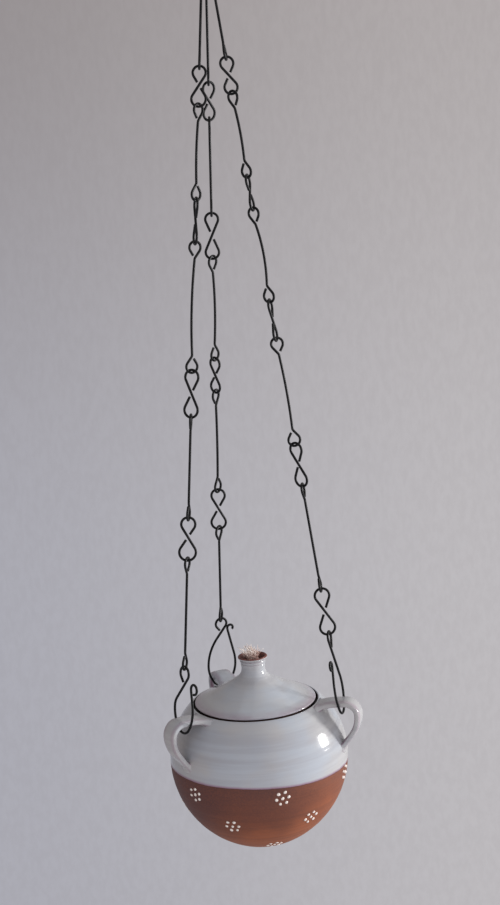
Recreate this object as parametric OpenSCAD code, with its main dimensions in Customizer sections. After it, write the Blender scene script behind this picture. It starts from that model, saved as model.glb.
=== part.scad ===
// Hanging oil lamp: a glazed clay pot with a lid and wick, carried by three
// chains of bent steel wire that gather on a ring under a hook.
// Millimetres, +Z up, origin where the hook rests on its nail.
// Azimuths are in degrees from +X, and -Y is the front.

/* [Pot] */
// Outer radius at the widest point of the belly
belly_r = 65; // [60:0.5:70]
// Radius of the arc that shapes the shoulder, above the widest point
shoulder_arc_r = 54.6; // [52:0.1:57]
// Radius of the arc that shapes the bowl, below the widest point
bowl_arc_r = 69.4; // [67:0.1:73]
// Thickness of the thrown wall
pot_wall = 4.6; // [3.5:0.1:6]
// Radius of the flat turned base
base_r = 22; // [18:0.5:26]
// Thickness of the base
base_t = 6; // [4:0.5:8]
// Height of the turned recess under the base
base_recess = 1; // [0.5:0.1:2]

/* [Mouth and lid] */
// Radius of the pot's mouth
mouth_r = 45.2; // [43:0.1:47]
// Rounding of the pot's lip
lip_r = 1; // [0.6:0.1:1.6]
// Depth of the ledge that carries the lid, below the lip
ledge_depth = 3.4; // [2.5:0.1:5]
// Width of that ledge
ledge_w = 5.8; // [4:0.1:7]
// Thickness of the ledge at its inner edge
ledge_t = 3.2; // [2.5:0.1:4.5]
// Gap between the mouth and the lid's edge
lid_gap = 1.2; // [0.8:0.1:2]
// Height of the lid's edge above the pot's lip
lid_edge_rise = 1.7; // [1:0.1:2.5]
// Rounding of the lid's edge
lid_edge_r = 0.9; // [0.7:0.1:1.2]
// Thickness of the lid's wall
lid_wall = 4; // [3:0.1:5]
// Height of the lid from its edge to the foot of its neck
lid_rise = 16.5; // [13:0.5:20]
// Depth of the ring under the lid that keeps it centred
lid_ring_depth = 5; // [3:0.5:8]

/* [Neck and wick] */
// Radius of the neck at its waist
neck_r = 8.5; // [7.8:0.1:10]
// Radius of the flared rim
neck_rim_r = 10.7; // [10:0.1:13]
// Height of the rim above the foot of the neck
neck_h = 15.8; // [13:0.1:20]
// Radius of the bore that holds the wick
neck_bore_r = 5.6; // [4.5:0.1:6]
// Depth of the two turned grooves under the rim
groove_depth = 0.35; // [0.2:0.05:0.6]
// Clearance round the wick in its bore
wick_clear = 0.4; // [0.2:0.1:0.8]
// Height of the frayed end above the rim
wick_show = 9; // [5:0.5:12]
// Gap between the wick's lower end and the pot's floor
wick_floor_gap = 5; // [2:1:15]

/* [Ears] */
// Azimuth of each ear, left, back and right, as they were set by hand
ear_az = [216, 112, -17];
// Thickness of the clay strap at its arch
ear_t = 5; // [4:0.1:6]
// Width of the strap at its arch
ear_w = 15; // [13:0.5:16]
// Width of the strap where it meets the shoulder
ear_root_w = 18; // [14:0.5:22]
// Width of the strap at its lower end
ear_tail_w = 9; // [7:0.5:12]
// Distance from the pot's axis to the top of the arch
ear_arch_x = 67.5; // [66:0.1:70]
// Height of the arch's middle line above the belly's widest point
ear_arch_z = 41.5; // [40:0.1:43]
// Radius of the arch's outer bend
ear_bend_r = 8.9; // [8:0.1:10]
// Slope of the strap where it leaves the shoulder
ear_root_tilt = 17; // [12:1:22]
// Slope of the strap's lower end, from the vertical
ear_tail_tilt = 37; // [33:1:42]

/* [Wire] */
// Diameter of the chain wire
wire_d = 1.8; // [1.5:0.1:2]
// Diameter of the ring's and the hook's wire
heavy_d = 3; // [2.5:0.1:3.6]
// Gap left between wires that hang on each other
wire_gap = 0.25; // [0.2:0.05:0.5]
// Radius of an eye at the end of a rod
eye_r = 4.2; // [3.9:0.1:4.8]
// Distance from an eye's centre to the point where its two sides meet
eye_len = 7.4; // [6.5:0.1:9]
// Radius of the bend between an eye and its rod
bend_r = 3; // [2:0.5:5]

/* [Chains] */
// Height from the ring down to the seat of the bails in the ears
hang_h = 523; // [420:1:640]
// How far a bail hangs inside the top of its ear's arch, toward the pot
seat_in = 2.5; // [1:0.1:4]
// How far the foot of a bail hangs below the strap that wedges in it
seat_drop = 5.6; // [5:0.1:8]
// Space between the rods that hang side by side on the ring
rod_pitch = 2.7; // [2.5:0.1:3.5]

/* [Bails] */
// How far a bail's sides stand out beyond the strap at their widest
bail_spread = 3.5; // [3:0.1:5]
// How far the bend under the strap is wider than the strap, on each side
bail_foot_spread = 0.7; // [0.5:0.1:1.5]

/* [Ring and hook] */
// Radius of the gathering ring
ring_r = 13; // [11:0.5:18]
// Radius of the hook's bend
hook_r = 11; // [9:0.5:15]
// Radius of the bend that brings the hook's shank to its middle
hook_neck_r = 8; // [6:0.5:12]
// Length of the hook's straight shank
hook_shank = 6; // [3:0.5:20]
// Radius of the eye at the hook's lower end
hook_eye_r = 6.5; // [6:0.1:9]
// Distance from that eye's centre to the point where its sides meet
hook_eye_len = 11; // [10:0.5:16]

/* [Hidden] */
$fn = 48;

// Chains, left, back and right, each from the ring down to its ear.
// A rod is [length, side of its top eye, side of its bottom eye, turn of its
// top eye, turn of its bottom eye, bow]. A side of 1 has the rod run into the
// eye's right side. A turn is the azimuth of the eye's plane, and a bow is how
// far the middle of a rod with two equal turns stands to the right.
// The lengths are nominal: the rods share what the links and the bail leave.
RODS = [
    [
        [65, 1, 1, 90, 90, 0],
        [63, 1, 1, 47, 47, -0.8],
        [88, 1, 1, 27, 27, -1.3],
        [72, 1, -1, 85, 79, 0],
        [78, -1, -1, 69, 72, 0]
    ],
    [
        [75.5, 1, 1, 90, 90, 0],
        [66, 1, 1, 90, 90, 0],
        [74, -1, -1, 52, 52, 1.4],
        [76, 1, 1, 60, 60, 0.6],
        [74, 1, 1, 61, 77, 0]
    ],
    [
        [60, 1, 1, 90, 82, 0],
        [57, -1, -1, -45, -45, 1],
        [64, -1, -1, -38, -38, 2.2],
        [75, -1, -1, 12, 12, 0.8],
        [77, -1, -1, 76, 80, 0]
    ]
];
// A link is [length, radius of its top loop, radius of its bottom loop, hand,
// turn]. With a hand of 1 its diagonal falls from the left to the right.
LINKS = [
    [
        [25, 4.5, 5, -1, -12],
        [29.5, 5, 5, -1, 103],
        [31, 5.1, 5.2, 1, -28],
        [28.5, 4.9, 5.8, 1, 0]
    ],
    [
        [24, 4.8, 4.8, 1, 38],
        [30.5, 4.5, 4.7, -1, 0],
        [24, 4.6, 4.5, 1, -45],
        [29, 4.9, 5.3, 1, 0]
    ],
    [
        [23, 4.5, 4.5, 1, 12],
        [22.5, 4.6, 4.6, -1, 74],
        [27, 4.6, 4.6, 1, 74],
        [29.5, 5, 5.2, 1, -42],
        [32, 5.2, 5.4, 1, 5]
    ]
];
// A bail is [length, radius of its eye, slope of the eye's sides, place of its
// curl from the middle, slope of its free leg, radius of that leg's bend,
// radius of its curl, turn of its curl, side]. With a side of 1 its free leg
// stands clockwise of the ear, seen from above.
BAILS = [
    [47, 5, 38, 8.2, 12, 26, 3.5, 275, -1],
    [54, 4.3, 38, 5, 14, 34, 2.2, 225, 1],
    [60, 4.3, 24, 6.2, 18, 30, 3, 250, 1]
];

// Half of the distance between two wires' middle lines where they hang
half_pitch = (wire_d + wire_gap) / 2;
// Space between a wire's cut end and the wire it was bent back to
end_gap = wire_d + 0.35;

// A bail's seat, from the strap that rests in it
seat_r = ear_arch_x - seat_in;
seat_z = ear_arch_z - ear_t / 2 - seat_drop;
bail_half_w = ear_w / 2 + bail_spread;
bail_foot_r = ear_w / 2 + bail_foot_spread;

// Places on the axis, from the hook down
hook_turn = acos(1 - hook_r / (hook_r + hook_neck_r));
hook_mid_z = heavy_d / 2 - hook_r;
hook_meet_z = hook_mid_z - (hook_r + hook_neck_r) * sin(hook_turn) - hook_shank;
hook_eye_z = hook_meet_z - hook_eye_len;
ring_gap = 0.3;
ring_z = hook_eye_z - hook_eye_r + heavy_d + ring_gap - ring_r;
rod_top_z = ring_z - ring_r + heavy_d / 2 + wire_gap / 2;
belly_z = rod_top_z - hang_h - seat_z;

// Outline of the pot, in heights from the widest point of its belly
shoulder_x = belly_r - shoulder_arc_r;
bowl_x = belly_r - bowl_arc_r;
lip_turn = acos((mouth_r + lip_r - shoulder_x) / (shoulder_arc_r - lip_r));
lip_z = (shoulder_arc_r - lip_r) * sin(lip_turn);
ledge_z = lip_z - ledge_depth;
throat_r = mouth_r - ledge_w;
base_turn = acos((base_r - bowl_x) / bowl_arc_r);
base_z = -bowl_arc_r * sin(base_turn);
floor_z = base_z + base_t;

// Outline of the lid, in the same heights
lid_edge_x = mouth_r - lid_gap - lid_edge_r;
lid_edge_z = lip_z + lid_edge_rise;
lid_top_z = lid_edge_z + lid_edge_r;
neck_z = lid_top_z + lid_rise;
rim_z = neck_z + neck_h;
neck_flare_r = 9;
neck_flare_turn = 53;
lid_seat_clear = 0.6;
lid_ring_x = throat_r - lid_seat_clear;
lid_seat_x = lid_edge_x - 1.6;

function arc(cx, cz, r, from, to, n) =
    [for (i = [0:n]) [cx + r * cos(from + (to - from) * i / n), cz + r * sin(from + (to - from) * i / n)]];

// Wire bending. A path is a list of bends in one plane: [length] is a straight
// run, and [radius, turn] is a bend to the left, or to the right if the turn is
// negative. A place is [x, z, heading].
function ahead(p, step) = [p[0] + step * cos(p[2]), p[1] + step * sin(p[2]), p[2]];
function bend_centre(p, b) = ahead([p[0], p[1], p[2] + 90 * sign(b[1])], b[0]);
function after(p, b) =
    len(b) == 1 ? ahead(p, b[0]) :
    let (c = bend_centre(p, b), out = p[2] - 90 * sign(b[1]) + b[1])
    [c[0] + b[0] * cos(out), c[1] + b[0] * sin(out), p[2] + b[1]];

// Every second run of a wire is a hair thinner and reaches a little into its
// neighbours, so the runs join in clean circles.
hair = 0.03;
lap = 0.15;

module bent_run(p, b, d, reach) {
    if (len(b) == 1) {
        translate([p[0], p[1], 0])
            rotate([0, 0, p[2]])
                rotate([0, 90, 0])
                    translate([0, 0, -reach]) cylinder(d = d, h = b[0] + 2 * reach);
    } else {
        c = bend_centre(p, b);
        more = reach / b[0] * 180 / PI;
        first = (b[1] > 0 ? p[2] - 90 : p[2] + 90 + b[1]) - more;
        translate([c[0], c[1], 0])
            rotate([0, 0, first])
                rotate_extrude(angle = abs(b[1]) + 2 * more) translate([b[0], 0]) circle(d = d);
    }
}

module bent_path(path, p, d, i = 0) {
    if (i < len(path)) {
        bent_run(p, path[i], i % 2 == 0 ? d : d - hair, i % 2 == 0 ? 0 : lap);
        bent_path(path, after(p, path[i]), d, i + 1);
    }
}

module bent_wire(path, p, d) {
    rotate([90, 0, 0]) bent_path(path, p, d);
}

// An eye whose two straight sides meet on the middle line, "reach" from its
// centre. Its free side stops short of the other one.
function eye_slope(r, reach) = asin(r / reach);
function eye_side(r, reach) = sqrt(reach * reach - r * r);
function eye_tail(r, reach) = eye_side(r, reach) - end_gap / sin(2 * eye_slope(r, reach));
function eye_bend(r, reach, side) = [r, -side * (180 + 2 * eye_slope(r, reach))];
// Place of the free end of an eye at the top, with its crown at height z
function eye_start(r, reach, side, z) =
    let (a = eye_slope(r, reach), h = 90 + side * a)
    ahead([-side * r * cos(a), z - r - r * sin(a), h], -eye_tail(r, reach));

// An eye and the bend that leads it into a straight rod, "cut" beyond the
// point where its sides meet
rod_cut = bend_r * tan(eye_slope(eye_r, eye_len) / 2);
function eye_end(side) =
    [
        [eye_tail(eye_r, eye_len)],
        eye_bend(eye_r, eye_len, side),
        [eye_side(eye_r, eye_len) - rod_cut],
        [bend_r, side * eye_slope(eye_r, eye_len)]
    ];

// A bowed rod in one plane: two eyes and one long bend between them
function bowed_rod(side_a, side_b, chord, bow) =
    let (
        a = eye_slope(eye_r, eye_len),
        r = chord * chord / (8 * abs(bow)) + abs(bow) / 2,
        lean = sign(bow) * asin(chord / (2 * r)),
        turn_a = side_a * a + lean,
        turn_b = side_b * a + lean,
        cut_a = bend_r * tan(abs(turn_a) / 2),
        cut_b = bend_r * tan(abs(turn_b) / 2),
        cut_turn = sign(bow) * (cut_a + cut_b) / r * 180 / PI
    )
    [
        [eye_tail(eye_r, eye_len)],
        eye_bend(eye_r, eye_len, side_a),
        [eye_side(eye_r, eye_len) - cut_a],
        [bend_r, turn_a],
        [r, -2 * lean + cut_turn],
        [bend_r, turn_b],
        [eye_side(eye_r, eye_len) - cut_b],
        eye_bend(eye_r, eye_len, side_b),
        [eye_tail(eye_r, eye_len)]
    ];

// A rod hangs from height 0, and the next piece hangs from -span
module rod_shape(s, span) {
    chord = span + 2 * half_pitch - 2 * (eye_r + eye_len);
    if (s[5] == 0) {
        rotate([0, 0, s[3]])
            bent_wire(eye_end(s[1]), eye_start(eye_r, eye_len, s[1], half_pitch), wire_d);
        translate([0, 0, half_pitch - eye_r - eye_len - rod_cut])
            mirror([0, 0, 1]) cylinder(d = wire_d, h = chord - 2 * rod_cut);
        rotate([0, 0, s[4]])
            translate([0, 0, -span])
                rotate([0, 180, 0])
                    bent_wire(eye_end(s[2]), eye_start(eye_r, eye_len, s[2], half_pitch), wire_d);
    } else {
        rotate([0, 0, s[3]])
            bent_wire(
                bowed_rod(s[1], -s[2], chord, s[5]),
                eye_start(eye_r, eye_len, s[1], half_pitch),
                wire_d
            );
    }
}

module link_shape(s) {
    r1 = s[1];
    r2 = s[2];
    hand = s[3];
    d = s[0] + 2 * half_pitch - r1 - r2;
    a = asin((r1 + r2) / d);
    reach1 = d * r1 / (r1 + r2);
    reach2 = d - reach1;
    path = [
        [eye_tail(r1, reach1)],
        [r1, hand * (180 + 2 * a)],
        [sqrt(d * d - (r1 + r2) * (r1 + r2))],
        [r2, -hand * (180 + 2 * a)],
        [eye_tail(r2, reach2)]
    ];
    rotate([0, 0, s[4]]) bent_wire(path, eye_start(r1, reach1, -hand, half_pitch), wire_d);
}

// A bail: an eye, the leg that grows out of it, the bend under the strap, and
// a free leg that ends in a small curl
module bail_shape(s) {
    r = s[1];
    a = s[2];
    reach = r / sin(a);
    side_bend = 35;
    side_r = (bail_half_w - bail_foot_r * cos(side_bend)) / (1 - cos(side_bend));
    wide_z = -s[0] + side_r * sin(side_bend) + bail_foot_r * (1 - sin(side_bend));
    drop = half_pitch - r - r * sin(a) - wide_z;
    across = bail_half_w + r * cos(a);
    leg_run = across * sin(a) / (1 - cos(a)) - drop;
    leg_r = (drop * sin(a) - across * cos(a)) / (1 - cos(a));
    curl_bend_r = 8;
    free_turn = s[4];
    shift = bail_half_w - s[3];
    free_run = (shift - (s[5] + curl_bend_r) * (1 - cos(free_turn))) / sin(free_turn);
    path = [
        [eye_tail(r, reach)],
        eye_bend(r, reach, 1),
        [leg_run],
        [leg_r, a],
        [side_r, side_bend],
        [bail_foot_r, 180 - 2 * side_bend],
        [side_r, side_bend],
        [s[5], free_turn],
        [free_run],
        [curl_bend_r, -free_turn],
        [s[6], -s[7]]
    ];
    bent_wire(path, eye_start(r, reach, 1, half_pitch), wire_d);
}

// Each chain's own line, from the ring to the seat of its bail
function rod_top(c) =
    let (x = (c - 1) * -rod_pitch, lift = ring_r - sqrt(ring_r * ring_r - x * x))
    [c == 0 ? -rod_pitch : c == 1 ? 0 : rod_pitch, 0, rod_top_z + lift];
function seat(c) = [seat_r * cos(ear_az[c]), seat_r * sin(ear_az[c]), belly_z + seat_z];
function line_len(c) = norm(rod_top(c) - seat(c));
function line_az(c) = let (v = rod_top(c) - seat(c)) atan2(v[1], v[0]);
function line_lean(c) = let (v = rod_top(c) - seat(c)) acos(v[2] / norm(v));

function total(v, n) = n == 0 ? 0 : v[n - 1] + total(v, n - 1);
function link_lens(c) = [for (s = LINKS[c]) s[0]];
function rod_lens(c) = [for (s = RODS[c]) s[0]];
function rod_scale(c) =
    (line_len(c) - total(link_lens(c), len(LINKS[c])) - BAILS[c][0]) / total(rod_lens(c), 5);
// Distance down the line to the top of a rod, a link and the bail
function rod_at(c, i) = total(rod_lens(c), i) * rod_scale(c) + total(link_lens(c), i);
function link_at(c, i) = rod_at(c, i) + RODS[c][i][0] * rod_scale(c);
function bail_at(c) = line_len(c) - BAILS[c][0];

module on_line(c, at) {
    translate(rod_top(c))
        rotate([0, line_lean(c), line_az(c)])
            translate([0, 0, -at])
                rotate([0, 0, -line_az(c)])
                    children();
}

module rod(c, i) {
    color("#1c1b1d") on_line(c, rod_at(c, i)) rod_shape(RODS[c][i], RODS[c][i][0] * rod_scale(c));
}

module s_link(c, i) {
    color("#1c1b1d") on_line(c, link_at(c, i)) link_shape(LINKS[c][i]);
}

module bail(c) {
    turn = ear_az[c] - 90 * BAILS[c][8];
    color("#1c1b1d") on_line(c, bail_at(c)) rotate([0, 0, turn]) bail_shape(BAILS[c]);
}

module gather_ring() {
    color("#1c1b1d")
        translate([0, 0, ring_z])
            rotate([90, 0, 0])
                rotate_extrude() translate([ring_r, 0]) circle(d = heavy_d);
}

// The hook's plane is square to the ring's, so its eye holds the ring's wire
module hanging_hook() {
    a = eye_slope(hook_eye_r, hook_eye_len);
    cut = hook_neck_r * tan(a / 2);
    tail = eye_side(hook_eye_r, hook_eye_len) - (heavy_d + 0.35) / sin(2 * a);
    start = ahead([hook_eye_r * cos(a), hook_eye_z + hook_eye_r * sin(a), 270 + a], -tail);
    path = [
        [tail],
        [hook_eye_r, -180 - 2 * a],
        [eye_side(hook_eye_r, hook_eye_len) - cut],
        [hook_neck_r, a],
        [hook_shank - cut],
        [hook_neck_r, hook_turn],
        [hook_r, -200 - hook_turn],
        [hook_neck_r, 45]
    ];
    color("#1c1b1d") rotate([0, 0, 90]) bent_wire(path, start, heavy_d);
}

module pot_outside() {
    rotate_extrude(convexity = 4)
        polygon(concat(
            [[0, base_z]],
            arc(bowl_x, 0, bowl_arc_r, -base_turn, 0, 18),
            arc(shoulder_x, 0, shoulder_arc_r, 0, lip_turn, 14),
            arc(mouth_r + lip_r, lip_z, lip_r, lip_turn, 180, 6),
            [[mouth_r, ledge_z], [0, ledge_z]]
        ));
}

// The inside: a rounded floor, a wall of even thickness, and the clay that was
// folded in to make the ledge
module pot_inside() {
    bowl_inner_r = bowl_arc_r - pot_wall;
    shoulder_inner_r = shoulder_arc_r - pot_wall;
    floor_turn = asin(-floor_z / bowl_inner_r);
    fold_turn = asin((ledge_z - ledge_t - 3) / shoulder_inner_r);
    rotate_extrude(convexity = 4)
        polygon(concat(
            [[0, floor_z], [10, floor_z]],
            arc(bowl_x, 0, bowl_inner_r, -floor_turn + 8, 0, 16),
            arc(shoulder_x, 0, shoulder_inner_r, 0, fold_turn, 9),
            [[throat_r, ledge_z - ledge_t], [throat_r, ledge_z + 1], [0, ledge_z + 1]]
        ));
}

module pot_body() {
    color("#b9684a")
        translate([0, 0, belly_z])
            difference() {
                pot_outside();
                pot_inside();
                translate([0, 0, base_z - 1]) cylinder(r = base_r - 6, h = 1 + base_recess);
            }
}

// The strap's middle line, in its own upright plane: from inside the wall, up
// to the arch, round the bend and down to the belly
ear_root_arc_r = 66;
ear_side_arc_r = 24.2;
ear_root_run = 1.5;
ear_tail_run = 20;
ear_bend = [ear_arch_x, ear_arch_z - ear_bend_r];
ear_root_arc = arc(ear_arch_x, ear_arch_z - ear_root_arc_r, ear_root_arc_r, 90 + ear_root_tilt, 90, 5);
ear_side_arc = arc(ear_bend[0] + ear_bend_r - ear_side_arc_r, ear_bend[1], ear_side_arc_r, 0, -ear_tail_tilt, 6);
ear_line = concat(
    [ear_root_arc[0] - ear_root_run * [cos(ear_root_tilt), sin(ear_root_tilt)]],
    ear_root_arc,
    [for (p = arc(ear_bend[0], ear_bend[1], ear_bend_r, 75, 0, 5)) p],
    [for (i = [1:6]) ear_side_arc[i]],
    [for (i = [1:4]) ear_side_arc[6] - i / 4 * ear_tail_run * [sin(ear_tail_tilt), cos(ear_tail_tilt)]]
);
ear_n = len(ear_line);
ear_arch_i = 7;
function ear_dir(i) =
    let (v = ear_line[min(i + 1, ear_n - 1)] - ear_line[max(i - 1, 0)]) v / norm(v);
function ear_width(i) =
    i < ear_arch_i ?
        ear_w + (ear_root_w - ear_w) * pow(1 - i / ear_arch_i, 2) :
        ear_w + (ear_tail_w - ear_w) * pow((i - ear_arch_i) / (ear_n - 1 - ear_arch_i), 0.8);
function ear_thick(i) = i < ear_arch_i ? ear_t : ear_t - 1.2 * (i - ear_arch_i) / (ear_n - 1 - ear_arch_i);
// One ring of the strap: a rectangle with round edges
ear_sides = 16;
function soft(v) = sign(v) * pow(abs(v), 0.62);
function ear_ring(i) =
    let (p = ear_line[i], t = ear_dir(i), up = [-t[1], t[0]])
    [for (k = [0:ear_sides - 1])
        let (
            a = 360 * k / ear_sides,
            w = ear_width(i) / 2 * soft(cos(a)),
            h = ear_thick(i) / 2 * soft(sin(a))
        )
        [p[0] + up[0] * h, w, p[1] + up[1] * h]];

module strap() {
    points = [for (i = [0:ear_n - 1]) each ear_ring(i)];
    sides = [
        for (i = [0:ear_n - 2])
            for (k = [0:ear_sides - 1])
                let (a = i * ear_sides + k, b = i * ear_sides + (k + 1) % ear_sides)
                each [[a, b, b + ear_sides], [a, b + ear_sides, a + ear_sides]]
    ];
    first = [for (k = [0:ear_sides - 1]) ear_sides - 1 - k];
    last = [for (k = [0:ear_sides - 1]) (ear_n - 1) * ear_sides + k];
    polyhedron(points, concat(sides, [first], [last]), convexity = 4);
}

module ear(c) {
    color("#d9dbe0")
        translate([0, 0, belly_z])
            difference() {
                rotate([0, 0, ear_az[c]]) strap();
                pot_outside();
            }
}

// The lid's upper side, from the neck's waist down to the edge
lid_flare = arc(neck_r + neck_flare_r, neck_z + 7.2, neck_flare_r, 180, 180 + neck_flare_turn, 7);
lid_flare_end = lid_flare[7];
lid_sag = 0.9;
lid_slope_n = 8;
function lid_slope(i) =
    let (f = i / lid_slope_n, a = lid_flare_end, b = [lid_edge_x, lid_top_z])
    a + (b - a) * f - [0, lid_sag * 4 * f * (1 - f)];

module lid() {
    groove_z = [rim_z - 3.2, rim_z - 5.4];
    throat_z = neck_z + neck_h - 6;
    under_x = lid_flare_end[0] - 1;
    outside = concat(
        [[neck_rim_r - 1.4, rim_z]],
        [[neck_rim_r - 0.4, rim_z], [neck_rim_r, rim_z - 0.5], [neck_rim_r - 0.1, rim_z - 1.2]],
        [[neck_r + 1, rim_z - 2.6]],
        [for (z = groove_z, s = [[0.5, 0], [0, -groove_depth], [-0.5, 0]])
            [neck_r + 0.4 + (z - groove_z[1]) * 0.2 + s[1], z + s[0]]],
        lid_flare,
        [for (i = [1:lid_slope_n]) lid_slope(i)],
        arc(lid_edge_x, lid_edge_z, lid_edge_r, 60, -90, 6),
        [[lid_seat_x, lid_edge_z - lid_edge_r - 0.6], [lid_seat_x, ledge_z], [lid_ring_x, ledge_z]],
        [[lid_ring_x, ledge_z - lid_ring_depth], [lid_ring_x - 3, ledge_z - lid_ring_depth]]
    );
    inside = concat(
        [[lid_ring_x - 3.6, ledge_z]],
        [for (i = [lid_slope_n - 2:-1:0]) lid_slope(i) - [1, lid_wall]],
        [[neck_bore_r, neck_z - 2], [neck_bore_r, throat_z], [neck_rim_r - 2, rim_z - 0.6]]
    );
    color("#d3d6da") translate([0, 0, belly_z]) rotate_extrude(convexity = 4) polygon(concat(outside, inside));
}

// Cotton wick: a straight cord in the neck and bowl, with a frayed head
module wick() {
    r = neck_bore_r - wick_clear;
    foot_z = floor_z + wick_floor_gap;
    head_z = rim_z - 1;
    color("#efe6d2")
        translate([0, 0, belly_z])
            rotate_extrude()
                polygon([
                    [0, foot_z], [r - 0.6, foot_z], [r, foot_z + 0.6], [r, rim_z - 2],
                    [r + 0.6, head_z], [r + 2, rim_z + wick_show * 0.4], [r + 1.6, rim_z + wick_show * 0.75],
                    [r - 1.5, rim_z + wick_show], [0, rim_z + wick_show]
                ]);
}

hanging_hook();
gather_ring();
rod(0, 0);  // rod_left_1
rod(0, 1);  // rod_left_2
rod(0, 2);  // rod_left_3
rod(0, 3);  // rod_left_4
rod(0, 4);  // rod_left_5
s_link(0, 0);  // s_link_left_1
s_link(0, 1);  // s_link_left_2
s_link(0, 2);  // s_link_left_3
s_link(0, 3);  // s_link_left_4
rod(1, 0);  // rod_back_1
rod(1, 1);  // rod_back_2
rod(1, 2);  // rod_back_3
rod(1, 3);  // rod_back_4
rod(1, 4);  // rod_back_5
s_link(1, 0);  // s_link_back_1
s_link(1, 1);  // s_link_back_2
s_link(1, 2);  // s_link_back_3
s_link(1, 3);  // s_link_back_4
rod(2, 0);  // rod_right_1
rod(2, 1);  // rod_right_2
rod(2, 2);  // rod_right_3
rod(2, 3);  // rod_right_4
rod(2, 4);  // rod_right_5
s_link(2, 0);  // s_link_right_1
s_link(2, 1);  // s_link_right_2
s_link(2, 2);  // s_link_right_3
s_link(2, 3);  // s_link_right_4
s_link(2, 4);  // s_link_right_5
bail(0);  // bail_left
bail(1);  // bail_back
bail(2);  // bail_right
pot_body();
ear(0);  // ear_left
ear(1);  // ear_back
ear(2);  // ear_right
lid();
wick();
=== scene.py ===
import random
from math import acos, asin, atan2, cos, hypot, pi, radians, sin, sqrt

import bmesh
import bpy
from mathutils import Matrix, Vector, noise


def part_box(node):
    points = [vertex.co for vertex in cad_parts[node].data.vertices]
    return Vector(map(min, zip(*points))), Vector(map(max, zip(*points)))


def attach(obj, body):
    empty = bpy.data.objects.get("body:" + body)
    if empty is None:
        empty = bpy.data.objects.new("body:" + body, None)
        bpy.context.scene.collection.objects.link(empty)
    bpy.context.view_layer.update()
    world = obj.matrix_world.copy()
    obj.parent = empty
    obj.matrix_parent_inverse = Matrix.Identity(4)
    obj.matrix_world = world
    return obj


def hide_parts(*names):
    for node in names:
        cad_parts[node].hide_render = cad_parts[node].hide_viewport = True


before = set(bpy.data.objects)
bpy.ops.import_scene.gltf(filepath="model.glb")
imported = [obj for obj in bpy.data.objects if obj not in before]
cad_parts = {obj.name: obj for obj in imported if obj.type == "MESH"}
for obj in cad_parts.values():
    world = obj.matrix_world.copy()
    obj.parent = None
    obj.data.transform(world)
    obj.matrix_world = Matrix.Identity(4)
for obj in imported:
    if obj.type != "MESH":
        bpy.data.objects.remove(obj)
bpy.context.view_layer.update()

# Lengths in this script are millimetres until a mesh is made. Heights in the
# outlines count from the widest point of the pot's belly.
MM = 0.001

# Pot
BELLY_R = 65.0
SHOULDER_ARC_R = 54.6
BOWL_ARC_R = 69.4
POT_WALL = 4.6
BASE_R = 22.0
BASE_T = 6.0
BASE_RECESS = 1.0
MOUTH_R = 45.2
LIP_R = 1.0
LEDGE_DEPTH = 3.4
LEDGE_W = 5.8
LEDGE_T = 3.2

# Lid and neck
LID_GAP = 1.2
LID_EDGE_RISE = 1.7
LID_EDGE_R = 0.9
LID_WALL = 4.0
LID_RISE = 16.5
LID_SAG = 0.9
LID_RING_DEPTH = 5.0
NECK_R = 8.5
NECK_RIM_R = 10.7
NECK_H = 15.8
NECK_BORE_R = 5.6

# Wick
WICK_R = 5.2
WICK_FLOOR_GAP = 5.0
WICK_SHOW = 9.0
WICK_DOWN = 4.0
STRANDS = 140

# Ears
EAR_AZ = {"ear_left": 216.0, "ear_back": 112.0, "ear_right": -17.0}
EAR_T = 5.0
EAR_W = 15.0
EAR_ROOT_W = 18.0
EAR_TAIL_W = 9.0
EAR_ARCH_X = 67.5
EAR_ARCH_Z = 41.5
EAR_BEND_R = 8.9
EAR_SIDE_ARC_R = 24.2
EAR_ROOT_ARC_R = 66.0
EAR_ROOT_TILT = 17.0
EAR_ROOT_RUN = 1.5
EAR_TAIL_TILT = 37.0
EAR_TAIL_RUN = 20.0

# The glaze ends on a slightly tilted plane, as the pot was dipped by hand
GLAZE_EDGE_Z = -3.6
GLAZE_TILT_X = -0.0346
GLAZE_TILT_Y = -0.020

# Flowers of seven slip dots: rows of height, first azimuth and count
FLOWER_ROWS = [(-11.0, -137.0, 6), (-33.5, -113.0, 6), (-57.0, -79.0, 4)]
FLOWER_R = 4.7
DOT_R = 1.25
DOT_H = 0.62

shoulder_x = BELLY_R - SHOULDER_ARC_R
bowl_x = BELLY_R - BOWL_ARC_R
lip_turn = acos((MOUTH_R + LIP_R - shoulder_x) / (SHOULDER_ARC_R - LIP_R))
lip_z = (SHOULDER_ARC_R - LIP_R) * sin(lip_turn)
ledge_z = lip_z - LEDGE_DEPTH
throat_r = MOUTH_R - LEDGE_W
base_turn = acos((BASE_R - bowl_x) / BOWL_ARC_R)
base_z = -BOWL_ARC_R * sin(base_turn)
floor_z = base_z + BASE_T
lid_edge_x = MOUTH_R - LID_GAP - LID_EDGE_R
lid_edge_z = lip_z + LID_EDGE_RISE
lid_top_z = lid_edge_z + LID_EDGE_R
neck_z = lid_top_z + LID_RISE
rim_z = neck_z + NECK_H
belly = Vector((0, 0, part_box("pot_body")[0][2] / MM - base_z))


def arc(cx, cz, r, start, end, n):
    """Points of an arc in an outline, with both ends, from angles in degrees."""
    turns = [radians(start + (end - start) * i / n) for i in range(n + 1)]
    return [(cx + r * cos(a), cz + r * sin(a)) for a in turns]


def clear_of_pot(r, z):
    """Distance of a point from the pot's outside, positive outside."""
    if z > 0:
        return hypot(r - shoulder_x, z) - SHOULDER_ARC_R
    return hypot(r - bowl_x, z) - BOWL_ARC_R


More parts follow.
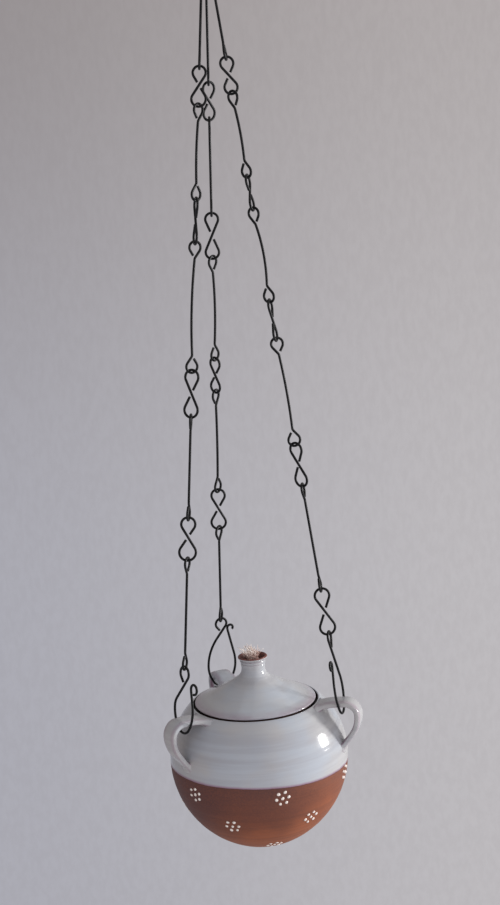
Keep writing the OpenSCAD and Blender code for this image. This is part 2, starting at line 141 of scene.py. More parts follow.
def pot_normal(az, z):
    """Point and outward normal on the pot's outside at an azimuth and height."""
    cx, arc_r = (shoulder_x, SHOULDER_ARC_R) if z > 0 else (bowl_x, BOWL_ARC_R)
    reach = sqrt(arc_r * arc_r - z * z)
    out = Vector((cos(az), sin(az), 0))
    point = out * (cx + reach) + Vector((0, 0, z))
    return point, (out * reach + Vector((0, 0, z))) / arc_r


# Meshes

def add_mesh(name, verts, faces, body, materials, face_slots=None):
    """A mesh object from millimetre points around the belly's centre."""
    mesh = bpy.data.meshes.new(name)
    mesh.from_pydata([(belly + Vector(v)) * MM for v in verts], [], faces)
    for material in materials:
        mesh.materials.append(material)
    if face_slots:
        mesh.polygons.foreach_set("material_index", face_slots)
    mesh.shade_smooth()
    obj = bpy.data.objects.new(name, mesh)
    bpy.context.collection.objects.link(obj)
    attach(obj, body)
    return obj


def revolve(outline, turns, wobble=None):
    """Vertices and faces of an outline of (r, z, slot) turned round the axis."""
    verts = []
    faces = []
    slots = []
    n = len(outline)
    for k in range(turns):
        a = 2 * pi * k / turns
        for r, z, _ in outline:
            grow = wobble(a, r, z) if wobble and r > 0 else 0.0
            verts.append(((r + grow) * cos(a), (r + grow) * sin(a), z))
    for k in range(turns):
        here = k * n
        there = (k + 1) % turns * n
        for i in range(n - 1):
            if outline[i][0] <= 0:
                faces.append((here, there + 1, here + 1))
            elif outline[i + 1][0] <= 0:
                faces.append((here + i, there + i, here + i + 1))
            else:
                faces.append((here + i, there + i, there + i + 1, here + i + 1))
            slots.append(outline[i][2])
    return verts, faces, slots


def with_slot(points, slot):
    """Outline points that share a material slot."""
    return [(r, z, slot) for r, z in points]


def clean(obj):
    """Merges the doubled points on the axis and turns all faces outward."""
    bm = bmesh.new()
    bm.from_mesh(obj.data)
    bmesh.ops.remove_doubles(bm, verts=bm.verts, dist=1e-6)
    bmesh.ops.recalc_face_normals(bm, faces=bm.faces)
    bm.to_mesh(obj.data)
    bm.free()


# Materials

def new_material(name):
    material = bpy.data.materials.new(name)
    material.use_nodes = True
    tree = material.node_tree
    tree.nodes.clear()
    out = tree.nodes.new("ShaderNodeOutputMaterial")
    shader = tree.nodes.new("ShaderNodeBsdfPrincipled")
    tree.links.new(shader.outputs["BSDF"], out.inputs["Surface"])
    return material, tree, shader


def put(tree, socket, value):
    if isinstance(value, bpy.types.NodeSocket):
        tree.links.new(value, socket)
    else:
        socket.default_value = value


def split(tree, vector):
    """The X, Y and Z outputs of a vector."""
    node = tree.nodes.new("ShaderNodeSeparateXYZ")
    put(tree, node.inputs[0], vector)
    return node.outputs


def math_node(tree, operation, a, b=0.0, c=0.0):
    node = tree.nodes.new("ShaderNodeMath")
    node.operation = operation
    for socket, value in zip(node.inputs, (a, b, c)):
        put(tree, socket, value)
    return node.outputs[0]


def mix_colour(tree, factor, a, b):
    node = tree.nodes.new("ShaderNodeMix")
    node.data_type = "RGBA"
    put(tree, node.inputs["Factor"], factor)
    put(tree, node.inputs["A"], a)
    put(tree, node.inputs["B"], b)
    return node.outputs["Result"]


def mix_shader(tree, factor, a, b):
    node = tree.nodes.new("ShaderNodeMixShader")
    put(tree, node.inputs[0], factor)
    tree.links.new(a, node.inputs[1])
    tree.links.new(b, node.inputs[2])
    return node.outputs[0]


def ramp(tree, value, low, high, to_low=0.0, to_high=1.0):
    """A value's soft step from to_low to to_high, held outside low and high."""
    node = tree.nodes.new("ShaderNodeMapRange")
    node.interpolation_type = "SMOOTHSTEP"
    put(tree, node.inputs["Value"], value)
    node.inputs["From Min"].default_value = low
    node.inputs["From Max"].default_value = high
    node.inputs["To Min"].default_value = to_low
    node.inputs["To Max"].default_value = to_high
    return node.outputs["Result"]


def object_place(tree):
    return tree.nodes.new("ShaderNodeTexCoord").outputs["Object"]


def scaled(tree, vector, scale):
    node = tree.nodes.new("ShaderNodeMapping")
    put(tree, node.inputs["Vector"], vector)
    node.inputs["Scale"].default_value = scale
    return node.outputs["Vector"]


def noise_node(tree, vector, scale, detail=3.0, roughness=0.5):
    node = tree.nodes.new("ShaderNodeTexNoise")
    put(tree, node.inputs["Vector"], vector)
    node.inputs["Scale"].default_value = scale
    node.inputs["Detail"].default_value = detail
    node.inputs["Roughness"].default_value = roughness
    return node.outputs["Fac"]


def bump(tree, height, distance, strength=1.0, normal=None):
    node = tree.nodes.new("ShaderNodeBump")
    node.inputs["Distance"].default_value = distance
    node.inputs["Strength"].default_value = strength
    put(tree, node.inputs["Height"], height)
    if normal:
        tree.links.new(normal, node.inputs["Normal"])
    return node.outputs["Normal"]


def srgb(*values):
    """A linear colour from screen values of 0 to 255."""
    linear = []
    for value in values:
        v = value / 255
        linear.append(v / 12.92 if v <= 0.04045 else ((v + 0.055) / 1.055) ** 2.4)
    return (*linear, 1.0)


GLAZE_GREY = srgb(172, 175, 178)
GLAZE_BLUE = srgb(164, 172, 184)
GLAZE_WARM = srgb(172, 168, 166)
GLAZE_THIN = srgb(140, 112, 130)
CLAY_MAUVE = srgb(85, 50, 46)
CLAY_BROWN = srgb(110, 60, 41)
CLAY_ORANGE = srgb(154, 85, 48)
CLAY_DARK = srgb(66, 38, 32)
# Near-black painted shade for the faces of the gap round the lid
CREVICE_SHADE = srgb(28, 22, 24)
GLAZE_ROUGHNESS = 0.14

# Mesh attribute that tells where glaze is thin
THIN = "thin"

# Material slots of the pot and of the lid
OUTSIDE = 0
INSIDE = 1
POT_JOINT = 2
LID_RIM = 2
LID_JOINT = 3


def glaze_colour(tree, place):
    """Cloudy grey-white, bluer and warmer in turn, with faint level streaks."""
    clouds = noise_node(tree, scaled(tree, place, (1, 1, 1.6)), 22.0, 3.0, 0.55)
    streaks = noise_node(tree, scaled(tree, place, (0.25, 0.25, 7.0)), 40.0, 4.0, 0.6)
    colour = mix_colour(tree, ramp(tree, clouds, 0.35, 0.65), GLAZE_BLUE, GLAZE_WARM)
    colour = mix_colour(tree, 0.45, colour, GLAZE_GREY)
    streak = ramp(tree, streaks, 0.35, 0.7, 0.0, 0.34)
    return mix_colour(tree, streak, colour, srgb(142, 140, 146))


def clay_colour(tree, place):
    """Bare clay: mauve at the top, orange low down, finely turned, and painted light that makes it
    more orange to the right, the window side.
    """
    parts = split(tree, place)
    low = ramp(tree, parts["Z"], (belly.z - 4) * MM, (belly.z - 62) * MM)
    # Painted light: the clay is pushed towards orange on the right, where the window lights it
    right = ramp(tree, parts["X"], -0.055, 0.06)
    drift = noise_node(tree, scaled(tree, place, (1, 1, 1.3)), 16.0, 3.0, 0.55)
    drift = math_node(tree, "MULTIPLY_ADD", drift, 0.5, 0.04)
    drift = math_node(tree, "MULTIPLY_ADD", low, 0.32, drift)
    drift = math_node(tree, "MULTIPLY_ADD", right, 0.2, drift)
    lines = noise_node(tree, scaled(tree, place, (0.2, 0.2, 9.0)), 60.0, 4.0, 0.65)
    grain = noise_node(tree, place, 900.0, 3.0, 0.6)
    colour = mix_colour(tree, ramp(tree, drift, 0.3, 0.55), CLAY_MAUVE, CLAY_BROWN)
    colour = mix_colour(tree, ramp(tree, drift, 0.5, 0.75), colour, CLAY_ORANGE)
    colour = mix_colour(tree, ramp(tree, lines, 0.4, 0.75, 0.0, 0.35), colour, CLAY_DARK)
    return mix_colour(tree, ramp(tree, grain, 0.3, 0.8, 0.0, 0.25), colour, CLAY_ORANGE)


def glaze_bump(tree, place):
    """Soft throwing rings and orange peel under the glaze."""
    rings = noise_node(tree, scaled(tree, place, (0.12, 0.12, 6.0)), 26.0, 2.0, 0.5)
    peel = noise_node(tree, place, 260.0, 2.0, 0.5)
    soft = bump(tree, rings, 0.0003, 0.25)
    return bump(tree, peel, 0.0001, 0.25, soft)


def pot_material():
    """Glaze above a tilted edge, bare clay below, and a thin mauve rim between."""
    material, tree, shader = new_material("pot_glaze_and_clay")
    place = object_place(tree)
    parts = split(tree, place)
    edge = -(belly.z + GLAZE_EDGE_Z) * MM
    edge = math_node(tree, "MULTIPLY_ADD", parts["X"], -GLAZE_TILT_X, edge)
    edge = math_node(tree, "MULTIPLY_ADD", parts["Y"], -GLAZE_TILT_Y, edge)
    above = math_node(tree, "ADD", parts["Z"], edge)
    slow = noise_node(tree, place, 28.0, 2.0, 0.5)
    quick = noise_node(tree, place, 170.0, 3.0, 0.6)
    above = math_node(tree, "MULTIPLY_ADD", slow, 0.0022, above)
    above = math_node(tree, "MULTIPLY_ADD", quick, 0.0006, above)
    above = math_node(tree, "SUBTRACT", above, 0.0014)
    glazed = ramp(tree, above, -0.00008, 0.00012)
    body = ramp(tree, above, 0.0001, 0.0022)
    near_edge = ramp(tree, above, -0.0009, 0.0)
    glaze = mix_colour(tree, body, GLAZE_THIN, glaze_colour(tree, place))
    shade = math_node(tree, "MULTIPLY", near_edge, 0.4)
    clay = mix_colour(tree, shade, clay_colour(tree, place), CLAY_DARK)
    put(tree, shader.inputs["Base Color"], mix_colour(tree, glazed, clay, glaze))
    put(tree, shader.inputs["Roughness"], ramp(tree, above, -0.00008, 0.0004, 0.62, GLAZE_ROUGHNESS))
    step = ramp(tree, above, -0.0001, 0.0003)
    turned = noise_node(tree, scaled(tree, place, (0.15, 0.15, 10.0)), 60.0, 3.0, 0.6)
    grain = noise_node(tree, place, 1400.0, 2.0, 0.6)
    rough = bump(tree, turned, 0.0002, 0.2, glaze_bump(tree, place))
    rough = bump(tree, grain, 0.0001, 0.2, rough)
    put(tree, shader.inputs["Normal"], bump(tree, step, 0.00025, 0.8, rough))
    return material


def glaze_material(name):
    """Glaze alone, thinner and mauve where the mesh's attribute THIN says so."""
    material, tree, shader = new_material(name)
    place = object_place(tree)
    colour = glaze_colour(tree, place)
    thin = tree.nodes.new("ShaderNodeAttribute")
    thin.attribute_name = THIN
    patch = noise_node(tree, place, 90.0, 3.0, 0.6)
    patchy = ramp(tree, patch, 0.3, 0.6, 0.35, 1.0)
    amount = math_node(tree, "MULTIPLY", thin.outputs["Fac"], patchy)
    colour = mix_colour(tree, amount, colour, GLAZE_THIN)
    put(tree, shader.inputs["Base Color"], colour)
    shader.inputs["Roughness"].default_value = GLAZE_ROUGHNESS
    put(tree, shader.inputs["Normal"], glaze_bump(tree, place))
    return material


def clay_material():
    material, tree, shader = new_material("bare_clay")
    place = object_place(tree)
    put(tree, shader.inputs["Base Color"], clay_colour(tree, place))
    shader.inputs["Roughness"].default_value = 0.7
    grain = noise_node(tree, place, 1200.0, 3.0, 0.6)
    put(tree, shader.inputs["Normal"], bump(tree, grain, 0.00012, 0.5))
    return material


def rim_material():
    """The neck's rim, bare and burnt to a dark red-brown."""
    material, tree, shader = new_material("bare_rim")
    place = object_place(tree)
    patch = noise_node(tree, place, 260.0, 4.0, 0.6)
    colour = mix_colour(tree, ramp(tree, patch, 0.35, 0.7), srgb(74, 38, 32), srgb(116, 62, 52))
    put(tree, shader.inputs["Base Color"], colour)
    shader.inputs["Roughness"].default_value = 0.5
    put(tree, shader.inputs["Normal"], bump(tree, patch, 0.0004, 0.5))
    return material


def crevice_shade_material():
    """Painted shade: near-black clay colour that lines the joint round the lid, so the gap shows as
    a black line.
    """
    material, tree, shader = new_material("crevice")
    place = object_place(tree)
    patch = noise_node(tree, place, 300.0, 3.0, 0.6)
    colour = mix_colour(tree, ramp(tree, patch, 0.3, 0.8), CREVICE_SHADE, srgb(52, 38, 38))
    put(tree, shader.inputs["Base Color"], colour)
    shader.inputs["Roughness"].default_value = 0.6
    return material


def slip_material():
    material, tree, shader = new_material("white_slip")
    place = object_place(tree)
    patch = noise_node(tree, place, 700.0, 3.0, 0.6)
    colour = mix_colour(tree, ramp(tree, patch, 0.3, 0.8), srgb(238, 232, 226), srgb(214, 200, 190))
    put(tree, shader.inputs["Base Color"], colour)
    shader.inputs["Roughness"].default_value = 0.4
    put(tree, shader.inputs["Normal"], bump(tree, patch, 0.0001, 0.3))
    return material


def wire_material():
    """Black annealed steel: mill scale with duller and rubbed patches."""
    material, tree, shader = new_material("annealed_wire")
    place = object_place(tree)
    patch = noise_node(tree, place, 140.0, 4.0, 0.65)
    fine = noise_node(tree, place, 900.0, 3.0, 0.6)
    colour = mix_colour(tree, ramp(tree, patch, 0.4, 0.75), srgb(20, 21, 23), srgb(38, 37, 38))
    colour = mix_colour(tree, ramp(tree, fine, 0.55, 0.85, 0.0, 0.5), colour, srgb(58, 50, 45))
    put(tree, shader.inputs["Base Color"], colour)
    put(tree, shader.inputs["Roughness"], ramp(tree, patch, 0.3, 0.8, 0.38, 0.62))
    shader.inputs["Metallic"].default_value = 0.55
    put(tree, shader.inputs["Normal"], bump(tree, fine, 0.00006, 0.4))
    return material


def cotton_material():
    """Cotton cord, pinkish where it is singed near the rim and oily further down; the darker
    pink-brown round the rim's level is partly singeing and partly painted shade of the neck.
    """
    material, tree, shader = new_material("cotton")
    place = object_place(tree)
    fluff = noise_node(tree, place, 1500.0, 4.0, 0.7)
    patch = noise_node(tree, place, 120.0, 2.0, 0.5)
    height = split(tree, place)["Z"]
    rim_level = (belly.z + rim_z) * MM
    below_head = ramp(tree, height, rim_level + 0.006, rim_level)
    near_rim = ramp(tree, height, rim_level - 0.016, rim_level - 0.004)
    # Darker pink-brown round the rim's level: partly singed cotton, partly painted shade inside the
    # neck
    singed_and_shaded = math_node(tree, "MULTIPLY", below_head, near_rim)
    stain = ramp(tree, patch, 0.45, 0.7, 0.0, 0.6)
    stain = math_node(tree, "MULTIPLY", stain, near_rim)
    colour = mix_colour(tree, ramp(tree, fluff, 0.3, 0.75), srgb(236, 226, 216), srgb(252, 248, 242))
    oiled = mix_colour(tree, ramp(tree, patch, 0.35, 0.7), srgb(224, 208, 176), srgb(206, 184, 146))
    colour = mix_colour(tree, ramp(tree, near_rim, 0.0, 1.0, 0.6, 0.0), colour, oiled)
    colour = mix_colour(tree, stain, colour, srgb(214, 172, 156))
    colour = mix_colour(tree, math_node(tree, "MULTIPLY", singed_and_shaded, 0.65), colour, srgb(168, 118, 104))
    put(tree, shader.inputs["Base Color"], colour)
    shader.inputs["Roughness"].default_value = 0.9
    shader.inputs["Sheen Weight"].default_value = 0.3
    put(tree, shader.inputs["Normal"], bump(tree, fluff, 0.0002, 0.6))
    return material


POT = pot_material()
GLAZE = glaze_material("lid_glaze")
EAR_GLAZE = glaze_material("ear_glaze")
CLAY = clay_material()
RIM = rim_material()
# DARK paints the shade in the gap round the lid
DARK = crevice_shade_material()
SLIP = slip_material()
WIRE = wire_material()
COTTON = cotton_material()


# Pot

def thrown(a, r, z):
    """Hand-thrown unevenness: slow lobes and shallow finger rings, in mm."""
    lobes = 0.22 * sin(2 * a + 0.8) + 0.12 * sin(3 * a + 2.1 + z * 0.02)
    rings = 0.035 * sin(z * 2 * pi / 7.4 + a) + 0.015 * sin(z * 2 * pi / 4.1 + 2 * a + 1.0)
    fade = min(1.0, max(0.0, (36.0 - z) / 8.0)) * min(1.0, max(0.0, (z - base_z - 2.0) / 10.0))
    return (lobes + rings) * fade


def make_pot():
    bowl_inner_r = BOWL_ARC_R - POT_WALL
    shoulder_inner_r = SHOULDER_ARC_R - POT_WALL
    floor_turn = asin(-floor_z / bowl_inner_r) * 180 / pi
    fold_turn = asin((ledge_z - LEDGE_T - 3) / shoulder_inner_r) * 180 / pi
    base_deg = base_turn * 180 / pi
    lip_deg = lip_turn * 180 / pi
    recess_z = base_z + BASE_RECESS
    outside = (
        with_slot([(0, recess_z), (BASE_R - 6.6, recess_z), (BASE_R - 6, base_z + 0.3)], INSIDE)
        + with_slot([(BASE_R - 5.6, base_z), (BASE_R - 0.9, base_z)], OUTSIDE)
        + with_slot(arc(bowl_x, 0, BOWL_ARC_R, -base_deg + 0.4, -1, 90), OUTSIDE)
        + with_slot(arc(shoulder_x, 0, SHOULDER_ARC_R, 0, lip_deg, 70), OUTSIDE)
        + with_slot(arc(MOUTH_R + LIP_R, lip_z, LIP_R, lip_deg + 14, 104, 4), OUTSIDE)
        # The lip's inner side and the ledge take the painted shade of the gap round the lid
        + with_slot(arc(MOUTH_R + LIP_R, lip_z, LIP_R, 118, 180, 4), POT_JOINT)
        + with_slot([(MOUTH_R, ledge_z + 0.1), (MOUTH_R - 0.5, ledge_z)], POT_JOINT)
        + with_slot([(throat_r + 0.4, ledge_z), (throat_r, ledge_z - 0.4)], INSIDE)
        + with_slot([(throat_r, ledge_z - LEDGE_T)], INSIDE)
        + with_slot(arc(shoulder_x, 0, shoulder_inner_r, fold_turn, 0, 14), INSIDE)
        + with_slot(arc(bowl_x, 0, bowl_inner_r, -2, -floor_turn + 8, 18), INSIDE)
        + with_slot([(10, floor_z), (0, floor_z)], INSIDE)
    )
    verts, faces, slots = revolve(outside, 256, thrown)
    obj = add_mesh("pot", verts, faces, "pot", [POT, CLAY, DARK], slots)
    clean(obj)
    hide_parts("pot_body")
    return obj


def add_dot(centre, side, up, r, phase, verts, faces):
    """Adds a low dome of slip of radius r, slightly out of round."""
    normal = side.cross(up)
    rings = 5
    sides = 14
    start = len(verts)
    verts.append(centre + normal * DOT_H)
    for i in range(1, rings + 1):
        f = i / rings
        height = DOT_H * sqrt(max(0.0, 1 - f ** 2.4)) - (0.25 if i == rings else 0)
        for j in range(sides):
            b = 2 * pi * j / sides
            spread = r * f * (1 + 0.07 * sin(2 * b + phase))
            flat = side * spread * cos(b) + up * spread * sin(b)
            verts.append(centre + flat + normal * height)
    for j in range(sides):
        faces.append((start, start + 1 + j, start + 1 + (j + 1) % sides))
    for i in range(rings - 1):
        low = start + 1 + i * sides
        for j in range(sides):
            after = (j + 1) % sides
            faces.append((low + j, low + sides + j, low + sides + after, low + after))
    faces.append([start + 1 + (rings - 1) * sides + j for j in range(sides)][::-1])


def make_slip_flowers():
    """Raised dots, six round one, a little uneven as they were trailed by hand."""
    rng = random.Random(7)
    verts = []
    faces = []
    for z, first, count in FLOWER_ROWS:
        for k in range(count):
            drift = rng.uniform(-2.5, 2.5) if k > 1 else 0
            az = radians(first + k * 360 / count + drift)
            point, normal = pot_normal(az, z)
            side = Vector((-sin(az), cos(az), 0))
            up = normal.cross(side)
            turn = rng.uniform(0, pi / 3)
            for dot in range(7):
                a = turn + dot * pi / 3
                reach = 0 if dot == 6 else FLOWER_R * rng.uniform(0.94, 1.06)
                r = DOT_R * rng.uniform(0.88, 1.12)
                centre = point + side * reach * cos(a) + up * reach * sin(a)
                away = clear_of_pot(hypot(centre.x, centre.y), centre.z)
                centre -= normal * (away - thrown(az, 0, z))
                add_dot(centre, side, up, r, dot, verts, faces)
    obj = add_mesh("slip_flowers", verts, faces, "pot", [SLIP])
    clean(obj)
    return obj


def store_thin(obj, values):
    """Keeps how thin the glaze is at each vertex."""
    attribute = obj.data.attributes.new(THIN, "FLOAT", "POINT")
    attribute.data.foreach_set("value", values)


# Ears

# Steps of the strap's line before its arch
ARCH_START = 25


def ear_line():
    """The strap's middle line in its upright plane, closely spaced."""
    root_z = EAR_ARCH_Z - EAR_ROOT_ARC_R
    root = arc(EAR_ARCH_X, root_z, EAR_ROOT_ARC_R, 90 + EAR_ROOT_TILT, 90, ARCH_START - 1)
    bend_z = EAR_ARCH_Z - EAR_BEND_R
    bend = arc(EAR_ARCH_X, bend_z, EAR_BEND_R, 90, 0, 14)
    side_x = EAR_ARCH_X + EAR_BEND_R - EAR_SIDE_ARC_R
    side = arc(side_x, bend_z, EAR_SIDE_ARC_R, 0, -EAR_TAIL_TILT, 16)
    lean = radians(EAR_TAIL_TILT)
    end = side[-1]
    runs = [EAR_TAIL_RUN * i / 30 for i in range(1, 31)]
    tail = [(end[0] - sin(lean) * s, end[1] - cos(lean) * s) for s in runs]
    tilt = radians(EAR_ROOT_TILT)
    start = (root[0][0] - EAR_ROOT_RUN * cos(tilt), root[0][1] - EAR_ROOT_RUN * sin(tilt))
    return [start] + root + bend[1:] + side[1:] + tail


def soft_corner(value):
    return (1 if value > 0 else -1) * abs(value) ** 0.62 if value else 0.0


def strap_size(i, n):
    """Width and thickness of the strap at point i of its n points."""
    if i < ARCH_START:
        f = 1 - i / ARCH_START
        return EAR_W + (EAR_ROOT_W - EAR_W) * f * f, EAR_T
    f = (i - ARCH_START) / (n - 1 - ARCH_START)
    return EAR_W + (EAR_TAIL_W - EAR_W) * f ** 0.8, EAR_T - 1.2 * f


def fillet_growth(clear, fillet):
    """How much a strap's edge grows where it comes within a fillet of the pot."""
    if clear >= fillet:
        return 0.0
    gap = fillet - max(clear, 0.0)
    return fillet - sqrt(max(0.0, fillet * fillet - gap * gap))


def make_ear(name):
    """The pressed-on strap, with clay smoothed into a fillet where it meets the pot."""
    az = radians(EAR_AZ[name])
    out = Vector((cos(az), sin(az), 0))
    side = Vector((-sin(az), cos(az), 0))
    up = Vector((0, 0, 1))
    line = ear_line()
    n = len(line)
    sides = 40
    verts = []
    thin = []
    seed = EAR_AZ[name]
    for i, (x, z) in enumerate(line):
        before = line[max(i - 1, 0)]
        after = line[min(i + 1, n - 1)]
        tx, tz = after[0] - before[0], after[1] - before[1]
        size = hypot(tx, tz)
        nx, nz = -tz / size, tx / size
        width, thick = strap_size(i, n)
        fillet = 2.6 if i < ARCH_START else 1.7
        for k in range(sides):
            a = 2 * pi * k / sides
            w = width / 2 * soft_corner(cos(a))
            h = thick / 2 * soft_corner(sin(a))
            lump = 0.22 * noise.noise(Vector((x * 0.12 + seed, w * 0.15, z * 0.12)))
            px, pz = x + nx * (h + lump), z + nz * (h + lump)
            grow = fillet_growth(clear_of_pot(hypot(px, w), pz), fillet)
            reach = hypot(w, h) or 1.0
            w += grow * w / reach
            px, pz = px + nx * grow * h / reach, pz + nz * grow * h / reach
            if i < ARCH_START and px < MOUTH_R + 2.2:
                px = max(px, MOUTH_R + 0.9)
                pz = min(pz, lip_z + 0.7)
            verts.append(out * px + side * w + up * pz)
            corner = abs(soft_corner(cos(a)) * soft_corner(sin(a)))
            shown = 1.0 if sin(a) < 0 else 0.4
            thin.append(min(1.0, max(0.0, (corner - 0.45) * 5.0)) * shown)
    faces = []
    for i in range(n - 1):
        for k in range(sides):
            a = i * sides + k
            b = i * sides + (k + 1) % sides
            faces.append((a, b, b + sides, a + sides))
    faces.append([sides - 1 - k for k in range(sides)])
    faces.append([(n - 1) * sides + k for k in range(sides)])
    obj = add_mesh(name + "_strap", verts, faces, "pot", [EAR_GLAZE])
    store_thin(obj, thin)
    clean(obj)
    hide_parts(name)
    return obj


# Lid

def make_lid():
    flare_r = 9.0
    flare = arc(NECK_R + flare_r, neck_z + 7.2, flare_r, 180, 233, 20)
    end = flare[-1]

    def on_slope(f):
        """Point of the lid's hollow slope, from the flare at 0 to the edge at 1."""
        x = end[0] + (lid_edge_x - end[0]) * f
        return x, end[1] + (lid_top_z - end[1]) * f - LID_SAG * 4 * f * (1 - f)

    slope = [on_slope(i / 40) for i in range(1, 41)]
    grooves = []
    groove_levels = (rim_z - 3.2, rim_z - 5.4)
    for g in groove_levels:
        wall = NECK_R + 0.4 + (g - groove_levels[1]) * 0.2
        for lift, depth in ((0.5, 0), (0.28, 0.15), (0, 0.55), (-0.28, 0.15), (-0.5, 0)):
            grooves.append((wall - depth, g + lift))
    seat_x = lid_edge_x - 1.6
    ring_x = throat_r - 0.6
    under = []
    for f in (0.75, 0.6, 0.45, 0.3, 0.15, 0.0):
        x, z = on_slope(f)
        under.append((x - 1, z - LID_WALL))
    rim_inside = [(NECK_BORE_R + 0.5, rim_z - 5.2), (NECK_BORE_R + 1.5, rim_z - 3.4)]
    rim_inside += [(NECK_BORE_R + 2.4, rim_z - 1.7), (NECK_RIM_R - 2.0, rim_z - 0.6)]
    rim_top = [(NECK_RIM_R - 1.4, rim_z - 0.05), (NECK_RIM_R - 0.9, rim_z)]
    rim_top.append((NECK_RIM_R - 0.35, rim_z - 0.2))
    rim_edge = [(NECK_RIM_R, rim_z - 0.7), (NECK_RIM_R - 0.05, rim_z - 1.3)]
    ring_foot = ledge_z - LID_RING_DEPTH
    outline = (
        with_slot([(NECK_BORE_R, neck_z - 2), (NECK_BORE_R, rim_z - 6)], INSIDE)
        + with_slot(rim_inside + rim_top, LID_RIM)
        + with_slot(rim_edge, OUTSIDE)
        + with_slot([(NECK_R + 1.6, rim_z - 1.9), (NECK_R + 1.05, rim_z - 2.45)], OUTSIDE)
        + with_slot(grooves, OUTSIDE)
        + with_slot([(NECK_R + 0.12, neck_z + 8.6)], OUTSIDE)
        + with_slot(flare, OUTSIDE)
        + with_slot(slope, OUTSIDE)
        + with_slot(arc(lid_edge_x, lid_edge_z, LID_EDGE_R, 66, 4, 6), OUTSIDE)
        # The lid's lower edge takes the painted shade of the gap round the lid
        + with_slot(arc(lid_edge_x, lid_edge_z, LID_EDGE_R, -12, -90, 5), LID_JOINT)
        + with_slot([(seat_x, lid_edge_z - LID_EDGE_R - 0.6), (seat_x, ledge_z)], INSIDE)
        + with_slot([(ring_x, ledge_z), (ring_x, ring_foot), (ring_x - 3, ring_foot)], INSIDE)
        + with_slot([(ring_x - 3.6, ledge_z)], INSIDE)
        + with_slot(under, INSIDE)
        + with_slot([(NECK_BORE_R, neck_z - 2)], INSIDE)
    )
    verts, faces, slots = revolve(outline, 224)
    top = len(outline)
    for index, (x, y, z) in enumerate(verts):
        r, pz, slot = outline[index % top]
        if slot == OUTSIDE and 15 < r < 42.8 and pz > lid_edge_z:
            a = atan2(y, x)
            lift = 0.04 * sin(r * 2 * pi / 6.3 + a) + 0.16 * sin(2 * a + 0.4)
            fade = min(1.0, (r - 15) / 5) * min(1.0, (42.8 - r) / 3)
            verts[index] = (x, y, z + lift * fade)
    obj = add_mesh("lid_cone", verts, faces, "lid", [GLAZE, CLAY, RIM, DARK], slots)
    thin = []
    for index in range(len(verts)):
        r, z, _ = outline[index % top]
        edge = min(0.4, max(0.0, (r - 37.5) / 12)) if z > lid_edge_z - 0.2 else 0.0
        groove = any(abs(z - g) < 0.2 for g in groove_levels) and r > NECK_R - 0.5
        thin.append(0.6 if groove else edge)
    store_thin(obj, thin)
    clean(obj)
    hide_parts("lid")
    return obj


# Wick

def tube(path, radii, sides, verts, faces):
    """Adds a closed tube along points, one radius to each point."""
    start = len(verts)
    side = None
    for i, p in enumerate(path):
        ahead = (path[min(i + 1, len(path) - 1)] - path[max(i - 1, 0)]).normalized()
        if side is None:
            side = ahead.orthogonal().normalized()
        side = (side - ahead * side.dot(ahead)).normalized()
        cross = ahead.cross(side)
        for k in range(sides):
            a = 2 * pi * k / sides
            verts.append(p + side * radii[i] * cos(a) + cross * radii[i] * sin(a))
    for i in range(len(path) - 1):
        for k in range(sides):
            a = start + i * sides + k
            b = start + i * sides + (k + 1) % sides
            faces.append((a, b, b + sides, a + sides))
    faces.append([start + sides - 1 - k for k in range(sides)])
    faces.append([start + (len(path) - 1) * sides + k for k in range(sides)])


def make_wick():
    """Three twisted plies up to the rim, and a loose tuft of single threads."""
    rng = random.Random(11)
    verts = []
    faces = []
    foot = floor_z + WICK_FLOOR_GAP
    head = rim_z - 2.0
    ply_r = WICK_R * 0.5
    steps = 90
    for ply in range(3):
        path = []
        radii = []
        for i in range(steps + 1):
            z = foot + 1.5 + (head - foot - 1.5) * i / steps
            a = 2 * pi * (ply / 3 + (z - foot) / 34)
            reach = WICK_R - ply_r - 0.15
            path.append(Vector((reach * cos(a), reach * sin(a), z)))
            radii.append(ply_r * (1.0 if 0 < i < steps else 0.7))
        tube(path, radii, 12, verts, faces)
    for _ in range(STRANDS):
        a = rng.uniform(0, 2 * pi)
        r = WICK_R * 0.62 * sqrt(rng.uniform(0, 1))
        lean = rng.uniform(0.1, 1.1)
        size = rng.uniform(3.0, 10.5)
        heading = a + rng.uniform(-0.9, 0.9)
        aside = Vector((-0.16, 0, 0)) * rng.uniform(0, 1)
        curl = rng.uniform(-1.6, 1.6)
        p = Vector((r * cos(a), r * sin(a), head - 2.5))
        path = [p.copy()]
        for i in range(7):
            f = (i + 1) / 7
            tilt = lean * f * (0.5 + 0.9 * r / WICK_R)
            way = heading + curl * f
            go = Vector((cos(way) * sin(tilt), sin(way) * sin(tilt), cos(tilt)))
            go += aside * i
            p = p + go * (size + 2.5) / 7 + Vector([rng.uniform(-0.4, 0.4) for _ in range(3)])
            p.z = min(p.z, rim_z + WICK_SHOW + 0.6)
            room = NECK_BORE_R - 0.5 + max(0.0, p.z - WICK_DOWN - rim_z + 6) * 0.5
            reach = hypot(p.x, p.y)
            if p.z < rim_z + WICK_DOWN and reach > room:
                p.x *= room / reach
                p.y *= room / reach
            path.append(p.copy())
        radii = [0.26 * (1 - 0.4 * i / 7) for i in range(8)]
        tube(path, radii, 4, verts, faces)
    obj = add_mesh("wick_cord", verts, faces, "wick", [COTTON])
    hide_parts("wick")
    return obj


make_pot()
make_slip_flowers()
for ear in EAR_AZ:
    make_ear(ear)
make_lid()
make_wick()

# Wire parts keep their solids
WIRE_PARTS = ("rod_", "s_link_", "bail_", "gather_ring", "hanging_hook")
for name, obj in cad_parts.items():
    if name.startswith(WIRE_PARTS):
        obj.data.materials.clear()
        obj.data.materials.append(WIRE)


